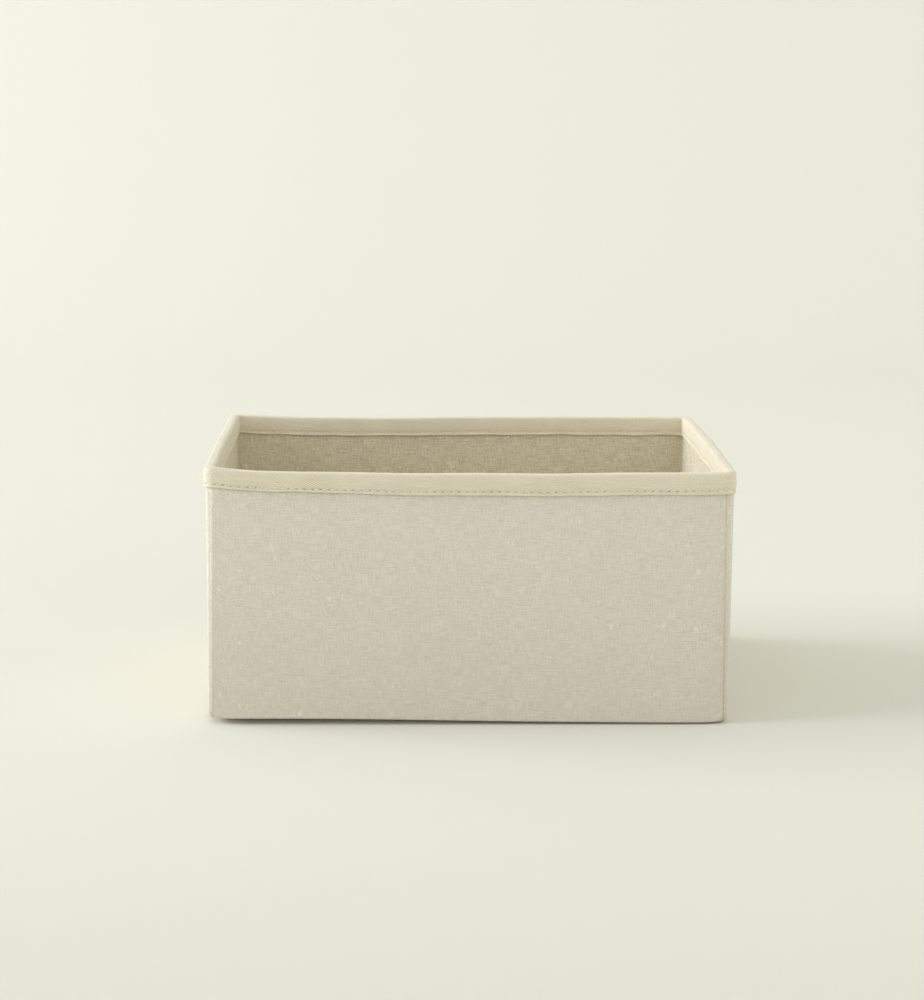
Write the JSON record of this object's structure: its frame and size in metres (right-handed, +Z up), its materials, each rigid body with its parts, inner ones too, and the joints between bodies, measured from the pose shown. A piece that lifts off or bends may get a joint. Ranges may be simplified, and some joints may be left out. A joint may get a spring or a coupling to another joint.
{
  "type": "fabric storage bin",
  "caption": "Open rectangular storage bin of linen-look canvas over stiff boards, with a stitched twill tape rim and a loose covered base board.",
  "frame": {"origin": "on the surface the bin stands on, under the middle of the bin", "axes": "+X along the long side, +Y towards the back, +Z up out of the open top"},
  "size_m": [0.26, 0.185, 0.128],
  "materials": {
    "outer_canvas": "matt plain-weave linen and cotton canvas, natural greige",
    "lining_canvas": "matt plain-weave linen and cotton canvas, natural greige",
    "twill_tape": "matt cotton twill tape, ivory",
    "sewing_thread": "spun thread, ivory",
    "greyboard": "raw pressed fibre board",
    "backing_paper": "matt nonwoven sheet"
  },
  "bodies": {
    "bin": {"outer_front_panel": "outer_canvas", "outer_back_panel": "outer_canvas", "outer_left_panel": "outer_canvas", "outer_right_panel": "outer_canvas", "outer_base_panel": "outer_canvas", "lining_front": "lining_canvas", "lining_back": "lining_canvas", "lining_left": "lining_canvas", "lining_right": "lining_canvas", "lining_base": "lining_canvas", "front_stiffener": "greyboard", "back_stiffener": "greyboard", "left_stiffener": "greyboard", "right_stiffener": "greyboard", "rim_tape": "twill_tape", "rim_needle_thread": "sewing_thread", "rim_bobbin_thread": "sewing_thread", "corner_thread_front_left": "sewing_thread", "corner_thread_front_right": "sewing_thread", "corner_thread_back_left": "sewing_thread", "corner_thread_back_right": "sewing_thread", "base_seam_thread": "sewing_thread"},
    "base_insert": {"insert_cover": "lining_canvas", "insert_board": "greyboard", "insert_backing": "backing_paper"}
  },
  "joints": [
    {"name": "insert_lift", "type": "slide", "parent": "bin", "child": "base_insert", "axis": [0, 0, 1], "range_m": [0, 0.14]}
  ]
}
